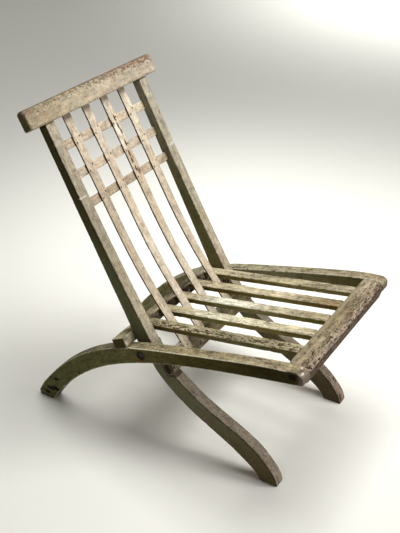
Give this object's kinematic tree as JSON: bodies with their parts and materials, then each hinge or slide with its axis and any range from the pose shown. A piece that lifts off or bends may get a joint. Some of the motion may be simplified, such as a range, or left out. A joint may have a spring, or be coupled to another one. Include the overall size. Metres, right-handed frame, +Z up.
{
  "type": "folding chair",
  "caption": "Low folding garden chair of weathered painted wood: a slatted seat frame and a tall slatted back frame cross like an X and fold about two bolts.",
  "frame": {"origin": "on the floor, midway across the chair and midway between its front and its back", "axes": "+X across the chair towards the sitter's left, +Y towards the back, +Z up; the sitter faces -Y"},
  "size_m": [0.52, 0.835, 0.8903],
  "materials": {
    "rail_wood": "flaking cream and olive paint over weathered wood",
    "seat_slat_wood": "crazed and flaking cream paint",
    "stile_wood": "thin grey-green and pinkish paint, worn at the arrises",
    "back_slat_wood": "chalky cream-pink paint",
    "lower_rail_wood": "worn paint",
    "dowel_wood": "bare",
    "bolt_iron": "rusted",
    "nail_iron": "rusted"
  },
  "bodies": {
    "seat_frame": {"side_rail_right": "rail_wood", "side_rail_left": "rail_wood", "front_rail": "rail_wood", "rear_rail": "rail_wood", "rear_rail_dowels": "dowel_wood", "seat_slat_1": "seat_slat_wood", "seat_slat_2": "seat_slat_wood", "seat_slat_3": "seat_slat_wood", "seat_slat_4": "seat_slat_wood", "seat_slat_5": "seat_slat_wood", "pivot_bolts": "bolt_iron", "spacer_washers": "bolt_iron", "nut_washers": "bolt_iron", "pivot_nuts": "bolt_iron"},
    "back_frame": {"back_stile_right": "stile_wood", "back_stile_left": "stile_wood", "crest_rail": "stile_wood", "back_slat_1": "back_slat_wood", "back_slat_2": "back_slat_wood", "back_slat_3": "back_slat_wood", "back_slat_4": "back_slat_wood", "lattice_lath_top": "back_slat_wood", "lattice_lath_middle": "back_slat_wood", "lattice_lath_bottom": "back_slat_wood", "lattice_nails": "nail_iron", "lower_rail": "lower_rail_wood", "lower_rail_nails": "nail_iron", "lower_rail_screws": "nail_iron"}
  },
  "joints": [
    {"name": "fold", "type": "hinge", "parent": "seat_frame", "child": "back_frame", "pos_m": [0, 0.041, 0.2915], "axis": [1, 0, 0], "range_deg": [0, 98]}
  ]
}
